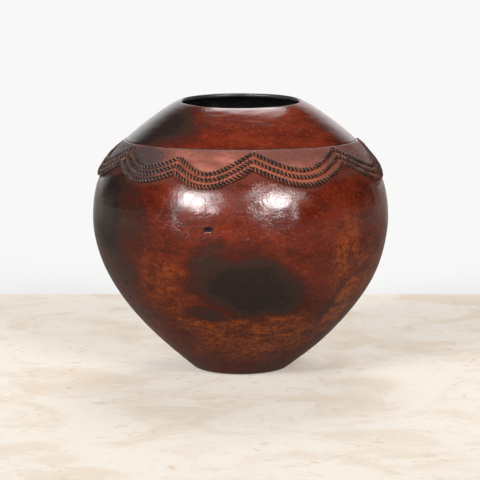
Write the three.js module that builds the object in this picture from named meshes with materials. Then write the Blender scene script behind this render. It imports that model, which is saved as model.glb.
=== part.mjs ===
import * as THREE from 'three';

// A coil-built Zulu beer pot with a festoon of clay ropes round its shoulder.
// Millimetres, +Z up. The foot stands on z = 0 and the pot's axis is the Z axis.
// Azimuth 0 faces -Y, the front, and grows towards +X.

// Outer wall
const mouthRadius = 78.5;
const rimHeight = 346.5;
const lipSlope = 20.5; // degrees below level, where the shoulder leaves the lip
const lipReach = 21; // how far the wall holds that slope
const shoulderRadius = 147;
const shoulderHeight = 297;
const shoulderSlope = 51.5; // degrees below level
const shoulderReachUp = 8;
const shoulderReachDown = 28;
const bellyRadius = 190;
const bellyHeight = 199;
const bellyReachUp = 59;
const bellyReachDown = 69;
const footFlatRadius = 45;
const footEdgeWidth = 17; // the foot's edge rolls up over this width
const footEdgeHeight = 3.8;
const footSlope = 38.5; // degrees above level, where the wall leaves the foot
const footReach = 99;

// Inside
const wallThickness = 8.5;
const lipThickness = 5.5;
const lipTaper = 40; // length over which the wall thins to the lip
const floorThickness = 12;
const floorSweep = 30; // length of wall over which the inside turns into the floor

// Hand-made lean of the mouth: its front edge is this much lower than level
const rimTilt = 1.8;

// Band of clay on the shoulder that carries the ropes
const bandFromLip = 86.5; // down the slope, from the lip to the band's top edge
const bandRise = 5.5; // the top edge is nearer the lip by this much in front
const bandThickness = 1.1;
const hemInset = 0.5; // the band stops this far inside the lowest rope's outer edge

// Ropes
const ropeWidth = 6;
const ropeHeight = 2.7;
const seatGap = 0.3; // clearance of each piece to the one that carries it

// Depths are taken down the slope from the band's top edge.
const peakDepth = 5; // of the upper rope at a peak of the festoon
const sagDepth = 36; // of the upper rope where it hangs lowest
const ropeGap = 3; // bare clay between two ropes

// The festoon, swag by swag, to the right of its first peak.
// span: degrees from peak to peak. left and right: how far each arm hangs straight, as a
// share of the span. peak, sag and gap: times peakDepth, sagDepth and ropeGap.
const firstPeak = -112;
const festoon = [
  { span: 49.5, left: 0.62, right: 0.42, peak: 0.8, sag: 0.93, gap: 1 },
  { span: 34, left: 0.42, right: 0.42, peak: 1, sag: 0.86, gap: 1 },
  { span: 34, left: 0.42, right: 0.55, peak: 3, sag: 1.03, gap: 0.8 },
  { span: 43.5, left: 0.49, right: 0.48, peak: 1.1, sag: 0.92, gap: 1.27 },
  { span: 50, left: 0.5, right: 0.5, peak: 0.8, sag: 1.03, gap: 1 },
  { span: 36, left: 0.46, right: 0.5, peak: 0.8, sag: 0.97, gap: 1.07 },
  { span: 42, left: 0.5, right: 0.45, peak: 1.4, sag: 1.06, gap: 1 },
  { span: 37, left: 0.45, right: 0.52, peak: 0.9, sag: 0.92, gap: 1.13 },
  { span: 34, left: 0.52, right: 0.46, peak: 1.6, sag: 1.03, gap: 0.93 },
];
const ropeNames = ['upper', 'middle', 'lower'];

// Facets
const potColumns = 72;
const potRows = { foot: 3, lower: 10, upper: 7, shoulder: 6, lip: 4, inside: 12, floor: 4 };
const ropeSteps = 14;
const ropeDomeSides = 5;
const bandColumnsPerSwag = 9;
const bandRows = 4;
const lineSteps = 60;
const rounding = 1e-6; // allowance where a share or a length should match exactly

const burnishedClay = { color: 0x6e2a1a, roughness: 0.28, metalness: 0 };
const mattClay = { color: 0x8c4a34, roughness: 0.85, metalness: 0 };
const ropeClay = { color: 0x44261d, roughness: 0.7, metalness: 0 };

const radians = THREE.MathUtils.degToRad;

function from(point, degrees, distance) {
  const angle = radians(degrees);
  return new THREE.Vector2(
    point.x + Math.cos(angle) * distance,
    point.y + Math.sin(angle) * distance,
  );
}

// The outer wall in the plane of radius and height, from the lip down to the flat of the foot.
function outerWall() {
  const lip = new THREE.Vector2(mouthRadius, rimHeight);
  const shoulder = new THREE.Vector2(shoulderRadius, shoulderHeight);
  const belly = new THREE.Vector2(bellyRadius, bellyHeight);
  const wallFoot = new THREE.Vector2(footFlatRadius + footEdgeWidth, footEdgeHeight);
  const flat = new THREE.Vector2(footFlatRadius, 0);
  const corner = new THREE.Vector2(wallFoot.x - footEdgeHeight / Math.tan(radians(footSlope)), 0);
  const path = new THREE.CurvePath();
  path.add(new THREE.CubicBezierCurve(
    lip,
    from(lip, -lipSlope, lipReach),
    from(shoulder, 180 - shoulderSlope, shoulderReachUp),
    shoulder,
  ));
  path.add(new THREE.CubicBezierCurve(
    shoulder,
    from(shoulder, -shoulderSlope, shoulderReachDown),
    from(belly, 90, bellyReachUp),
    belly,
  ));
  path.add(new THREE.CubicBezierCurve(
    belly,
    from(belly, -90, bellyReachDown),
    from(wallFoot, footSlope, footReach),
    wallFoot,
  ));
  path.add(new THREE.QuadraticBezierCurve(wallFoot, corner, flat));
  return path;
}

const wall = outerWall();
const wallLength = wall.getLength();
const [shoulderArc, upperArc, lowerArc, footArc] = wall.curves;

// The point of the wall at a distance down its slope from the lip, lifted off it along its normal.
function profileAt(slope, lift) {
  const share = slope / wallLength;
  const point = wall.getPoint(share);
  const tangent = wall.getTangent(share);
  return new THREE.Vector2(point.x - tangent.y * lift, point.y + tangent.x * lift);
}

function onWall(azimuth, slope, lift) {
  const { x: radius, y: height } = profileAt(slope, lift);
  return new THREE.Vector3(radius * Math.sin(azimuth), -radius * Math.cos(azimuth), height);
}

// The half circle that rounds the lip, from its outer edge to its inner edge.
function lipRounding() {
  const outer = profileAt(0, 0);
  const inner = profileAt(0, -lipThickness);
  const across = outer.clone().sub(inner).multiplyScalar(0.5);
  const centre = inner.clone().add(across);
  const outwards = new THREE.Vector2(-across.y, across.x);
  const points = [];
  for (let step = 1; step < potRows.lip; step += 1) {
    const turn = (step / potRows.lip) * Math.PI;
    const point = centre.clone();
    point.addScaledVector(across, Math.cos(turn));
    point.addScaledVector(outwards, Math.sin(turn));
    points.push(point);
  }
  return points;
}

// The inside, from the lip down to the middle of the floor.
function innerWall() {
  const bottom = wallLength - footArc.getLength() - floorSweep;
  const points = [];
  for (let step = 0; step <= potRows.inside; step += 1) {
    const slope = (step / potRows.inside) * bottom;
    const thinning = Math.max(0, 1 - slope / lipTaper);
    const thickness = wallThickness + (lipThickness - wallThickness) * thinning;
    points.push(profileAt(slope, -thickness));
  }
  const last = points[potRows.inside];
  const heading = last.clone().sub(points[potRows.inside - 1]).normalize();
  const run = (floorThickness - last.y) / heading.y;
  const corner = last.clone().addScaledVector(heading, run);
  const floor = new THREE.QuadraticBezierCurve(last, corner, new THREE.Vector2(0, floorThickness));
  return points.concat(floor.getPoints(potRows.floor).slice(1));
}

// The mouth's tilt grows from nothing at the shoulder to its full amount at the rim.
function tiltMouth(geometry) {
  const points = geometry.attributes.position;
  for (let index = 0; index < points.count; index += 1) {
    const share = THREE.MathUtils.smoothstep(points.getZ(index), shoulderHeight, rimHeight);
    const drop = (points.getY(index) / mouthRadius) * rimTilt * share;
    points.setZ(index, points.getZ(index) + drop);
  }
}

function potBody() {
  const outside = [
    new THREE.Vector2(0, 0),
    ...footArc.getPoints(potRows.foot).reverse(),
    ...lowerArc.getSpacedPoints(potRows.lower).reverse().slice(1),
    ...upperArc.getSpacedPoints(potRows.upper).reverse().slice(1),
    ...shoulderArc.getSpacedPoints(potRows.shoulder).reverse().slice(1),
  ];
  const outline = [...outside, ...lipRounding(), ...innerWall()];
  const geometry = new THREE.LatheGeometry(outline, potColumns);
  geometry.rotateX(Math.PI / 2);
  tiltMouth(geometry);
  return geometry;
}

// Lines on the wall are lists of points with x the azimuth in radians and y the depth in
// millimetres below the band's top edge, down the slope.

function slopeAt(point) {
  return bandFromLip - bandRise * Math.cos(point.x) + point.y;
}

function onBand(point, lift) {
  return onWall(point.x, slopeAt(point), lift);
}

// One upper rope: a cubic arc whose two inner control points lie at the same depth, set so
// that the middle of the arc hangs at the swag's sag.
function hangingLine(swag, start, end, next) {
  const width = end - start;
  const leftPeak = swag.peak * peakDepth;
  const rightPeak = next.peak * peakDepth;
  const low = ((swag.sag * sagDepth - (leftPeak + rightPeak) / 8) * 4) / 3;
  const curve = new THREE.CubicBezierCurve(
    new THREE.Vector2(start, leftPeak),
    new THREE.Vector2(start + swag.left * width, low),
    new THREE.Vector2(end - swag.right * width, low),
    new THREE.Vector2(end, rightPeak),
  );
  return curve.getPoints(lineSteps);
}

// The same line moved sideways over the wall, downwards where it runs to the right.
function beside(line, distance) {
  return line.map((point, index) => {
    const before = line[Math.max(index - 1, 0)];
    const after = line[Math.min(index + 1, line.length - 1)];
    const radius = profileAt(slopeAt(point), 0).x;
    const run = new THREE.Vector2((after.x - before.x) * radius, after.y - before.y).normalize();
    return new THREE.Vector2(point.x - (run.y * distance) / radius, point.y + run.x * distance);
  });
}

// Where the right arm of one line crosses the left arm of the next.
function crossing(left, right) {
  for (let i = left.length - 2; i > 0; i -= 1) {
    for (let j = 0; j < right.length - 1; j += 1) {
      const a = left[i];
      const b = right[j];
      const u = left[i + 1].clone().sub(a);
      const v = right[j + 1].clone().sub(b);
      const across = u.cross(v);
      const alongLeft = b.clone().sub(a).cross(v) / across;
      const alongRight = b.clone().sub(a).cross(u) / across;
      const hit = [alongLeft, alongRight].every((share) => share > -rounding && share < 1 + rounding);
      if (hit) {
        return { point: a.clone().addScaledVector(u, alongLeft), left: i, right: j + 1 };
      }
    }
  }
  throw new Error('two arms of the festoon do not meet');
}

function turned(line, angle) {
  return line.map((point) => new THREE.Vector2(point.x + angle, point.y));
}

// Cuts each line of a round of lines where it meets its neighbours.
function joinRound(lines) {
  const count = lines.length;
  const joints = lines.map((line, index) => {
    const last = index === count - 1;
    const next = lines[(index + 1) % count];
    return crossing(line, last ? turned(next, 2 * Math.PI) : next);
  });
  return lines.map((line, index) => {
    const first = index === 0;
    const start = joints[(index + count - 1) % count];
    const end = joints[index];
    const startPoint = new THREE.Vector2(start.point.x - (first ? 2 * Math.PI : 0), start.point.y);
    return [startPoint, ...line.slice(start.right, end.left + 1), end.point];
  });
}

// The same line in equal steps.
function inSteps(line, steps) {
  const places = line.map((point) => onBand(point, 0));
  const reach = [0];
  for (let index = 1; index < line.length; index += 1) {
    reach.push(reach[index - 1] + places[index].distanceTo(places[index - 1]));
  }
  const total = reach[line.length - 1];
  const points = [];
  for (let step = 0; step <= steps; step += 1) {
    const wanted = (total * step) / steps;
    const after = Math.max(1, reach.findIndex((length) => length >= wanted - rounding));
    const share = (wanted - reach[after - 1]) / (reach[after] - reach[after - 1]);
    points.push(line[after - 1].clone().lerp(line[after], share));
  }
  return points;
}

// Rounds of lines for the upper, middle and lower ropes and for the band's lower edge.
function festoonLines() {
  const spread = 360 / festoon.reduce((sum, swag) => sum + swag.span, 0);
  let start = radians(firstPeak);
  const rounds = [[], [], [], []];
  festoon.forEach((swag, index) => {
    const end = start + radians(swag.span * spread);
    const next = festoon[(index + 1) % festoon.length];
    let line = hangingLine(swag, start, end, next);
    rounds[0].push(line);
    for (let rope = 1; rope < ropeNames.length; rope += 1) {
      line = beside(line, ropeWidth + swag.gap * ropeGap);
      rounds[rope].push(line);
    }
    rounds[ropeNames.length].push(beside(line, ropeWidth / 2 - hemInset));
    start = end;
  });
  return rounds.map(joinRound);
}

// A closed solid skinned over rings of points. The rings close on themselves, as a belt does,
// or the first and last are its ends.
function skinned(rings, belt) {
  const sides = rings[0].length;
  const positions = rings.flat().flatMap((point) => point.toArray());
  const indices = [];
  const spans = belt ? rings.length : rings.length - 1;
  for (let ring = 0; ring < spans; ring += 1) {
    const next = (ring + 1) % rings.length;
    for (let side = 0; side < sides; side += 1) {
      const beyond = (side + 1) % sides;
      const a = ring * sides + side;
      const b = ring * sides + beyond;
      const c = next * sides + beyond;
      const d = next * sides + side;
      indices.push(a, b, c, a, c, d);
    }
  }
  if (!belt) {
    const end = (rings.length - 1) * sides;
    for (let side = 1; side < sides - 1; side += 1) {
      indices.push(0, side + 1, side, end, end + side, end + side + 1);
    }
  }
  const geometry = new THREE.BufferGeometry();
  geometry.setAttribute('position', new THREE.Float32BufferAttribute(positions, 3));
  geometry.setIndex(indices);
  geometry.computeVertexNormals();
  return geometry;
}

// How far the straight run between two points of the wall dips below it, half way along.
function dip(start, end) {
  const middle = start.clone().lerp(end, 0.5);
  return onBand(start, 0).lerp(onBand(end, 0), 0.5).distanceTo(onBand(middle, 0));
}

function deepestDip(line) {
  return Math.max(...line.slice(1).map((point, index) => dip(line[index], point)));
}

// How far the flats of the band's facets dip below the curved surface that they follow.
function bandFacetDip(hem) {
  const across = hem.map((edge, index) => {
    const next = hem[(index + 1) % hem.length];
    const width = Math.atan2(Math.sin(next.x - edge.x), Math.cos(next.x - edge.x));
    return dip(edge, new THREE.Vector2(edge.x + width, edge.y));
  });
  const down = hem.map((edge) => {
    const rows = [];
    for (let row = 0; row <= bandRows; row += 1) {
      rows.push(new THREE.Vector2(edge.x, (edge.y * row) / bandRows));
    }
    return deepestDip(rows);
  });
  return Math.max(...across) + Math.max(...down);
}

// The band runs from its top edge down to the hem, between two lifts off the wall.
function bandSolid(hem, inside, outside) {
  const rings = hem.map((edge) => {
    const outer = [];
    const inner = [];
    for (let row = 0; row <= bandRows; row += 1) {
      const point = new THREE.Vector2(edge.x, (edge.y * row) / bandRows);
      outer.push(onBand(point, outside));
      inner.unshift(onBand(point, inside));
    }
    return [...outer, ...inner];
  });
  return skinned(rings, true);
}

// The mitre plane where two ropes meet, as its point and normal.
function mitre(left, right, lift) {
  const point = onBand(left[left.length - 1], lift);
  const arriving = point.clone().sub(onBand(left[left.length - 2], lift)).normalize();
  const leaving = onBand(right[1], lift).sub(point).normalize();
  const normal = arriving.add(leaving).normalize();
  return new THREE.Plane().setFromNormalAndCoplanarPoint(normal, point);
}

// Half-round section, flat side down, across a rope that runs along the tangent.
function ropeSection(centre, tangent, normal) {
  const side = new THREE.Vector3().crossVectors(tangent, normal).normalize();
  const up = new THREE.Vector3().crossVectors(side, tangent).normalize();
  const ring = [];
  for (let step = 0; step <= ropeDomeSides; step += 1) {
    const turn = (step / ropeDomeSides) * Math.PI;
    const point = centre.clone();
    point.addScaledVector(side, (-Math.cos(turn) * ropeWidth) / 2);
    point.addScaledVector(up, Math.sin(turn) * ropeHeight);
    ring.push(point);
  }
  return ring;
}

// Slides the points of a rope's end along the rope until they lie in the mitre plane.
function slideTo(plane, ring, tangent, clearance) {
  const closing = plane.normal.dot(tangent);
  ring.forEach((point) => {
    const distance = clearance - plane.distanceToPoint(point);
    point.addScaledVector(tangent, distance / closing);
  });
}

function ropeSolid(line, lift, startPlane, endPlane) {
  const points = inSteps(line, ropeSteps);
  const places = points.map((point) => onBand(point, lift));
  const rings = places.map((place, index) => {
    const before = places[Math.max(index - 1, 0)];
    const after = places[Math.min(index + 1, ropeSteps)];
    const tangent = after.clone().sub(before).normalize();
    const normal = onBand(points[index], lift + 1).sub(place);
    const ring = ropeSection(place, tangent, normal);
    if (index === 0) {
      slideTo(startPlane, ring, tangent, seatGap / 2);
    }
    if (index === ropeSteps) {
      slideTo(endPlane, ring, tangent, -seatGap / 2);
    }
    return ring;
  });
  return skinned(rings, false);
}

function piece(name, geometry, clay) {
  const mesh = new THREE.Mesh(geometry, new THREE.MeshStandardMaterial(clay));
  mesh.name = name;
  return mesh;
}

const pot = new THREE.Group();
pot.name = 'zulu_pot';
pot.add(piece('pot_body', potBody(), burnishedClay));

const rounds = festoonLines();
const hem = rounds.pop().flatMap((line) => inSteps(line, bandColumnsPerSwag).slice(0, -1));
const bandInside = seatGap + bandFacetDip(hem);
const bandOutside = bandInside + bandThickness;
pot.add(piece('applied_band', bandSolid(hem, bandInside, bandOutside), mattClay));

const ropeDip = Math.max(...rounds.flat().map((line) => deepestDip(inSteps(line, ropeSteps))));
const ropeSeat = bandOutside + seatGap + ropeDip;
rounds.forEach((lines, rope) => {
  const count = lines.length;
  const planes = lines.map((line, index) => mitre(line, lines[(index + 1) % count], ropeSeat));
  lines.forEach((line, index) => {
    const startPlane = planes[(index + count - 1) % count];
    const solid = ropeSolid(line, ropeSeat, startPlane, planes[index]);
    pot.add(piece(`swag_${index + 1}_${ropeNames[rope]}_rope`, solid, ropeClay));
  });
});

export default pot;
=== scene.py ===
import math
from collections import namedtuple

import bpy
import numpy as np
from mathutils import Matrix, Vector, noise


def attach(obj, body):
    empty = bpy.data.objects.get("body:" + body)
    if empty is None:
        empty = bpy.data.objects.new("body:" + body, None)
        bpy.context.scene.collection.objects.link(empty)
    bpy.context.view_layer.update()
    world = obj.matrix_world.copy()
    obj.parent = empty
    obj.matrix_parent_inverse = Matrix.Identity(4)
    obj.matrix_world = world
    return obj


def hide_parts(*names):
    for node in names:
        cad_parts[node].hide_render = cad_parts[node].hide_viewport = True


# The burnished clay beer pot with its festoon of twisted clay ropes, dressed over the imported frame.
# Lengths are in millimetres until a mesh is made. Azimuth 0 faces -Y, the front, and grows
# towards +X. Slope is the distance down the outer wall from the lip, and depth is the same
# distance counted from the top edge of the band that carries the ropes.

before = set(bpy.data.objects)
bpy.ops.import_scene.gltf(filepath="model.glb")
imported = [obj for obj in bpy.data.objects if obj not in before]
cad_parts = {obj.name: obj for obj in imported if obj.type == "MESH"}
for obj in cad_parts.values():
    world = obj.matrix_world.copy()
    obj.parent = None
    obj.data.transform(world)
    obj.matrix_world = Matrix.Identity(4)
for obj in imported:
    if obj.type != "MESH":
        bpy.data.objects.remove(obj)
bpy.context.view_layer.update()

MM = 0.001
FULL_TURN = 2 * math.pi

# Outer wall
MOUTH_RADIUS = 78.5
RIM_HEIGHT = 346.5
LIP_SLOPE = 20.5
LIP_REACH = 21
SHOULDER_RADIUS = 147
SHOULDER_HEIGHT = 297
SHOULDER_SLOPE = 51.5
SHOULDER_REACH_UP = 8
SHOULDER_REACH_DOWN = 28
BELLY_RADIUS = 190
BELLY_HEIGHT = 199
BELLY_REACH_UP = 59
BELLY_REACH_DOWN = 69
FOOT_FLAT_RADIUS = 45
FOOT_EDGE_WIDTH = 17
FOOT_EDGE_HEIGHT = 3.8
FOOT_SLOPE = 38.5
FOOT_REACH = 99

# Inside
WALL_THICKNESS = 8.5
LIP_THICKNESS = 5.5
LIP_TAPER = 40
LIP_STEPS = 10
LIP_ROUNDING = 0.85
FLOOR_THICKNESS = 12
FLOOR_SWEEP = 30

# What the hand has left: the mouth's lean and the fuller side on the right
RIM_TILT = 1.8
RIGHT_FULLNESS = 2.6
RIGHT_AZIMUTH = 90
RIGHT_SPREAD = 70
RIGHT_RISE = (215, 285)
RIGHT_FALL = (450, 380)

# Band
BAND_FROM_LIP = 86.5
BAND_RISE = 5.5
BAND_LIFT = 1.5
BAND_ROOT = 0.6  # its edges start this deep in the wall
BAND_BACK = 2.5  # its back lies this deep in the wall
LEDGE_WIDTH = 1.3
HEM_WIDTH = 2.2
HEM_INSET = 0.5

# Ropes
ROPE_SPACE = 6  # width of a rope in the solids
ROPE_WIDTH = 7.9
ROPE_HEIGHT = 5.0
ROPE_LIFT = 2.4
ROPE_OVERRUN = 1.0
ROPE_TIP = (-0.6, 3.0)  # over which a rope's end swells to its full size
ROPE_RADIUS = 170
STRAND_PITCH = 5.0
STRAND_SHARE = 0.26
ROPE_NAMES = ("upper", "middle", "lower")

# The festoon as in the solids. Span is in degrees. Left and right are how far in from its ends
# a swag's curve has its handles, as shares of the span. Peak, sag and gap are shares of the
# three lengths here.
FIRST_PEAK = -112
PEAK_DEPTH = 5
SAG_DEPTH = 36
ROPE_GAP = 3
Swag = namedtuple("Swag", "span left right peak sag gap")
FESTOON = [
    Swag(49.5, 0.62, 0.42, 0.8, 0.93, 1),
    Swag(34, 0.42, 0.42, 1, 0.86, 1),
    Swag(34, 0.42, 0.55, 3, 1.03, 0.8),
    Swag(43.5, 0.49, 0.48, 1.1, 0.92, 1.27),
    Swag(50, 0.5, 0.5, 0.8, 1.03, 1),
    Swag(36, 0.46, 0.5, 0.8, 0.97, 1.07),
    Swag(42, 0.5, 0.45, 1.4, 1.06, 1),
    Swag(37, 0.45, 0.52, 0.9, 0.92, 1.13),
    Swag(34, 0.52, 0.46, 1.6, 1.03, 0.93),
]

# Mesh density
OUTLINE_POINTS = 240
CORNER_POINTS = 40
HANGING_POINTS = 160
SWEEP_POINTS = 24
WALL_COLUMNS = 720
WALL_STEP = 1.6
LEDGE_STEP = 0.4
LEDGE_MARGIN = 2
INSIDE_STEP = 4
BAND_COLUMNS = 1080
BAND_ROWS = 26
ROPE_STEP = 0.6
ROPE_SIDES = 20


# The wall's outline

def cubic(a, b, c, d, count=OUTLINE_POINTS):
    t = np.linspace(0, 1, count)[:, None]
    return (1 - t) ** 3 * a + 3 * (1 - t) ** 2 * t * b + 3 * (1 - t) * t**2 * c + t**3 * d


def reach(point, degrees, distance):
    angle = math.radians(degrees)
    return point + distance * np.array([math.cos(angle), math.sin(angle)])


def outline():
    """Radius and height of the outer wall, from the lip down to the flat of the foot."""
    lip = np.array([MOUTH_RADIUS, RIM_HEIGHT])
    shoulder = np.array([SHOULDER_RADIUS, SHOULDER_HEIGHT])
    belly = np.array([BELLY_RADIUS, BELLY_HEIGHT])
    wall_foot = np.array([FOOT_FLAT_RADIUS + FOOT_EDGE_WIDTH, FOOT_EDGE_HEIGHT])
    flat = np.array([FOOT_FLAT_RADIUS, 0.0])
    corner = np.array([wall_foot[0] - FOOT_EDGE_HEIGHT / math.tan(math.radians(FOOT_SLOPE)), 0.0])
    runs = [
        cubic(lip, reach(lip, -LIP_SLOPE, LIP_REACH),
              reach(shoulder, 180 - SHOULDER_SLOPE, SHOULDER_REACH_UP), shoulder),
        cubic(shoulder, reach(shoulder, -SHOULDER_SLOPE, SHOULDER_REACH_DOWN),
              reach(belly, 90, BELLY_REACH_UP), belly),
        cubic(belly, reach(belly, -90, BELLY_REACH_DOWN),
              reach(wall_foot, FOOT_SLOPE, FOOT_REACH), wall_foot),
        cubic(wall_foot, wall_foot + (corner - wall_foot) * 2 / 3,
              flat + (corner - flat) * 2 / 3, flat, CORNER_POINTS),
    ]
    return np.concatenate([runs[0]] + [run[1:] for run in runs[1:]])


OUTLINE = outline()
OUTLINE_SLOPE = np.concatenate([[0], np.cumsum(np.hypot(*np.diff(OUTLINE, axis=0).T))])
WALL_LENGTH = OUTLINE_SLOPE[-1]
FOOT_LENGTH = WALL_LENGTH - np.interp(-FOOT_EDGE_HEIGHT, -OUTLINE[:, 1], OUTLINE_SLOPE)
SLOPE_REACH = 0.5  # the wall's direction is taken over this distance up and down


def outline_at(slope):
    """Radius and height of the outline at each slope distance."""
    return [np.interp(slope, OUTLINE_SLOPE, OUTLINE[:, i]) for i in (0, 1)]


def profile(slope, lift=0.0):
    """Radius and height at each slope distance, lifted off the wall along its normal."""
    slope = np.asarray(slope, float)
    radius, height = outline_at(slope)
    low_radius, low_height = outline_at(np.clip(slope + SLOPE_REACH, 0, WALL_LENGTH))
    high_radius, high_height = outline_at(np.clip(slope - SLOPE_REACH, 0, WALL_LENGTH))
    along_r, along_z = low_radius - high_radius, low_height - high_height
    length = np.hypot(along_r, along_z)
    return radius - along_z / length * lift, height + along_r / length * lift


def in_space(azimuth, radius, height):
    flat = radius * np.sin(azimuth), -radius * np.cos(azimuth)
    return np.stack(np.broadcast_arrays(*flat, height), axis=-1)


def on_wall(azimuth, slope, lift=0.0):
    return in_space(azimuth, *profile(slope, lift))


def steps_round(count):
    """Azimuths at even steps round the pot."""
    return np.arange(count) * FULL_TURN / count


def smoothstep(low, high, value):
    share = np.clip((value - low) / (high - low), 0, 1)
    return share * share * (3 - 2 * share)


def tilt_mouth(points):
    share = smoothstep(SHOULDER_HEIGHT, RIM_HEIGHT, points[..., 2])
    points[..., 2] += points[..., 1] / MOUTH_RADIUS * RIM_TILT * share
    return points


# The festoon's lines, as azimuth in radians and depth in millimetres

def band_top(azimuth):
    return BAND_FROM_LIP - BAND_RISE * np.cos(azimuth)


def hanging_line(swag, start, end, next_swag):
    """A cubic whose middle hangs at the swag's sag."""
    peak, next_peak = swag.peak * PEAK_DEPTH, next_swag.peak * PEAK_DEPTH
    width = end - start
    low = (swag.sag * SAG_DEPTH - (peak + next_peak) / 8) * 4 / 3
    return cubic(np.array([start, peak]), np.array([start + swag.left * width, low]),
                 np.array([end - swag.right * width, low]), np.array([end, next_peak]),
                 HANGING_POINTS)


def beside(line, distance):
    """The same line moved sideways over the wall, downwards where it runs to the right."""
    radius = profile(band_top(line[:, 0]) + line[:, 1])[0]
    run = np.gradient(line, axis=0) * np.stack([radius, np.ones_like(radius)], axis=1)
    run /= np.hypot(run[:, 0], run[:, 1])[:, None]
    return line + np.stack([-run[:, 1] * distance / radius, run[:, 0] * distance], axis=1)


def crossing(left, right):
    """Where the right arm of one line crosses the left arm of the next."""
    for i in range(len(left) - 2, 0, -1):
        a, u = left[i], left[i + 1] - left[i]
        b, v = right[:-1], np.diff(right, axis=0)
        across = u[0] * v[:, 1] - u[1] * v[:, 0]
        gap = b - a
        along_left = (gap[:, 0] * v[:, 1] - gap[:, 1] * v[:, 0]) / across
        along_right = (gap[:, 0] * u[1] - gap[:, 1] * u[0]) / across
        hit = (along_left >= 0) & (along_left <= 1) & (along_right >= 0) & (along_right <= 1)
        if hit.any():
            j = int(np.argmax(hit))
            return a + u * along_left[j], i, j + 1
    raise ValueError("two arms of the festoon do not meet")


def join_round(lines):
    """Cuts each line of a round of lines where it meets its neighbours."""
    full_turn = np.array([FULL_TURN, 0])
    count = len(lines)
    joints = [crossing(line, lines[(i + 1) % count] + (full_turn if i == count - 1 else 0))
              for i, line in enumerate(lines)]
    joined = []
    for i, line in enumerate(lines):
        start, end = joints[i - 1], joints[i]
        first = start[0] - (full_turn if i == 0 else 0)
        joined.append(np.vstack([first, line[start[2]:end[1] + 1], end[0]]))
    return joined


def festoon_lines():
    """Rounds of lines for the upper, middle and lower ropes and for the band's lower edge."""
    share = FULL_TURN / sum(swag.span for swag in FESTOON)
    start = math.radians(FIRST_PEAK)
    rounds = [[], [], [], []]
    for i, swag in enumerate(FESTOON):
        end = start + swag.span * share
        line = hanging_line(swag, start, end, FESTOON[(i + 1) % len(FESTOON)])
        rounds[0].append(line)
        for rope in (1, 2):
            line = beside(line, ROPE_SPACE + swag.gap * ROPE_GAP)
            rounds[rope].append(line)
        rounds[3].append(beside(line, ROPE_SPACE / 2 - HEM_INSET))
        start = end
    return [join_round(lines) for lines in rounds]


def depth_of(lines, azimuth):
    """Depth of a round of lines at each azimuth."""
    points = np.vstack(lines)
    around = np.mod(points[:, 0], FULL_TURN)
    order = np.argsort(around)
    return np.interp(np.mod(azimuth, FULL_TURN), around[order], points[order, 1],
                     period=FULL_TURN)


ROPE_LINES = festoon_lines()
HEM_LINES = ROPE_LINES.pop()


# Meshes

def mesh_object(name, points, quads, triangles, materials, fields):
    """A smooth-shaded mesh from points in millimetres. Fields are numbers or vectors by point."""
    mesh = bpy.data.meshes.new(name)
    mesh.vertices.add(len(points))
    mesh.vertices.foreach_set("co", np.asarray(points * MM, np.float32).ravel())
    corners = np.concatenate([quads.ravel(), triangles.ravel()])
    sizes = np.concatenate([np.full(len(quads), 4), np.full(len(triangles), 3)])
    mesh.loops.add(len(corners))
    mesh.loops.foreach_set("vertex_index", corners.astype(np.int32))
    mesh.polygons.add(len(sizes))
    mesh.polygons.foreach_set("loop_start", (np.cumsum(sizes) - sizes).astype(np.int32))
    mesh.update(calc_edges=True)
    mesh.polygons.foreach_set("use_smooth", np.ones(len(sizes), bool))
    for field, values in fields.items():
        values = np.asarray(values, np.float32)
        vector = values.ndim == 2
        attribute = mesh.attributes.new(field, "FLOAT_VECTOR" if vector else "FLOAT", "POINT")
        attribute.data.foreach_set("vector" if vector else "value", values.ravel())
    for material in materials:
        mesh.materials.append(material)
    piece = bpy.data.objects.new(name, mesh)
    bpy.context.collection.objects.link(piece)
    return piece


def grid_faces(rows, columns, closed_rows=False):
    """Quads of a grid of points, row by row, whose columns close on themselves."""
    spans = rows if closed_rows else rows - 1
    row = np.arange(spans)[:, None]
    column = np.arange(columns)[None, :]
    above = (row + 1) % rows
    beyond = (column + 1) % columns
    corners = [row * columns + column, row * columns + beyond,
               above * columns + beyond, above * columns + column]
    return np.stack([c.ravel() for c in corners], axis=1)


def fan(hub, first, columns, upwards):
    """Triangles from a hub to a round row of points."""
    column = np.arange(columns)
    beyond = (column + 1) % columns
    rim = [first + column, first + beyond] if upwards else [first + beyond, first + column]
    return np.stack([np.full(columns, hub)] + rim, axis=1)


def end_fans(count, columns):
    """Triangles that close the first and last of some rows of points, with the hubs after them."""
    return np.concatenate([fan(count, 0, columns, False),
                           fan(count + 1, count - columns, columns, True)])


WALL_SEED_STEP = 17.3  # how far apart the noises of two seeds are read
ROPE_SEED_STEP = 9.7


def noise_field(azimuth, slope, radius, across, down, seed):
    """Soft noise over the wall, with grains of the given sizes in millimetres."""
    x = (np.sin(azimuth) * radius / across + seed * WALL_SEED_STEP).ravel()
    y = (-np.cos(azimuth) * radius / across).ravel()
    z = (slope / down).ravel()
    return np.array([noise.noise(place) for place in zip(x, y, z)]).reshape(slope.shape)


def turn_from(azimuth, degrees):
    """Angle from a place round the pot, between minus and plus half a turn."""
    return np.mod(azimuth - math.radians(degrees) + math.pi, FULL_TURN) - math.pi


def patches(azimuth, slope, radius, table, ragged):
    """The strongest of a table's patches at each place. Ragged frays their edges."""
    field = np.zeros_like(slope)
    for place, middle, across, down, tilt, strength, fade in table:
        x = turn_from(azimuth, place) * radius
        y = slope - middle
        c, s = math.cos(math.radians(tilt)), math.sin(math.radians(tilt))
        distance = np.hypot((x * c + y * s) / across, (y * c - x * s) / down) + ragged
        field = np.maximum(field, strength * (1 - smoothstep(1 - fade, 1 + fade, distance)))
    return field


# The pot's wall

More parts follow.
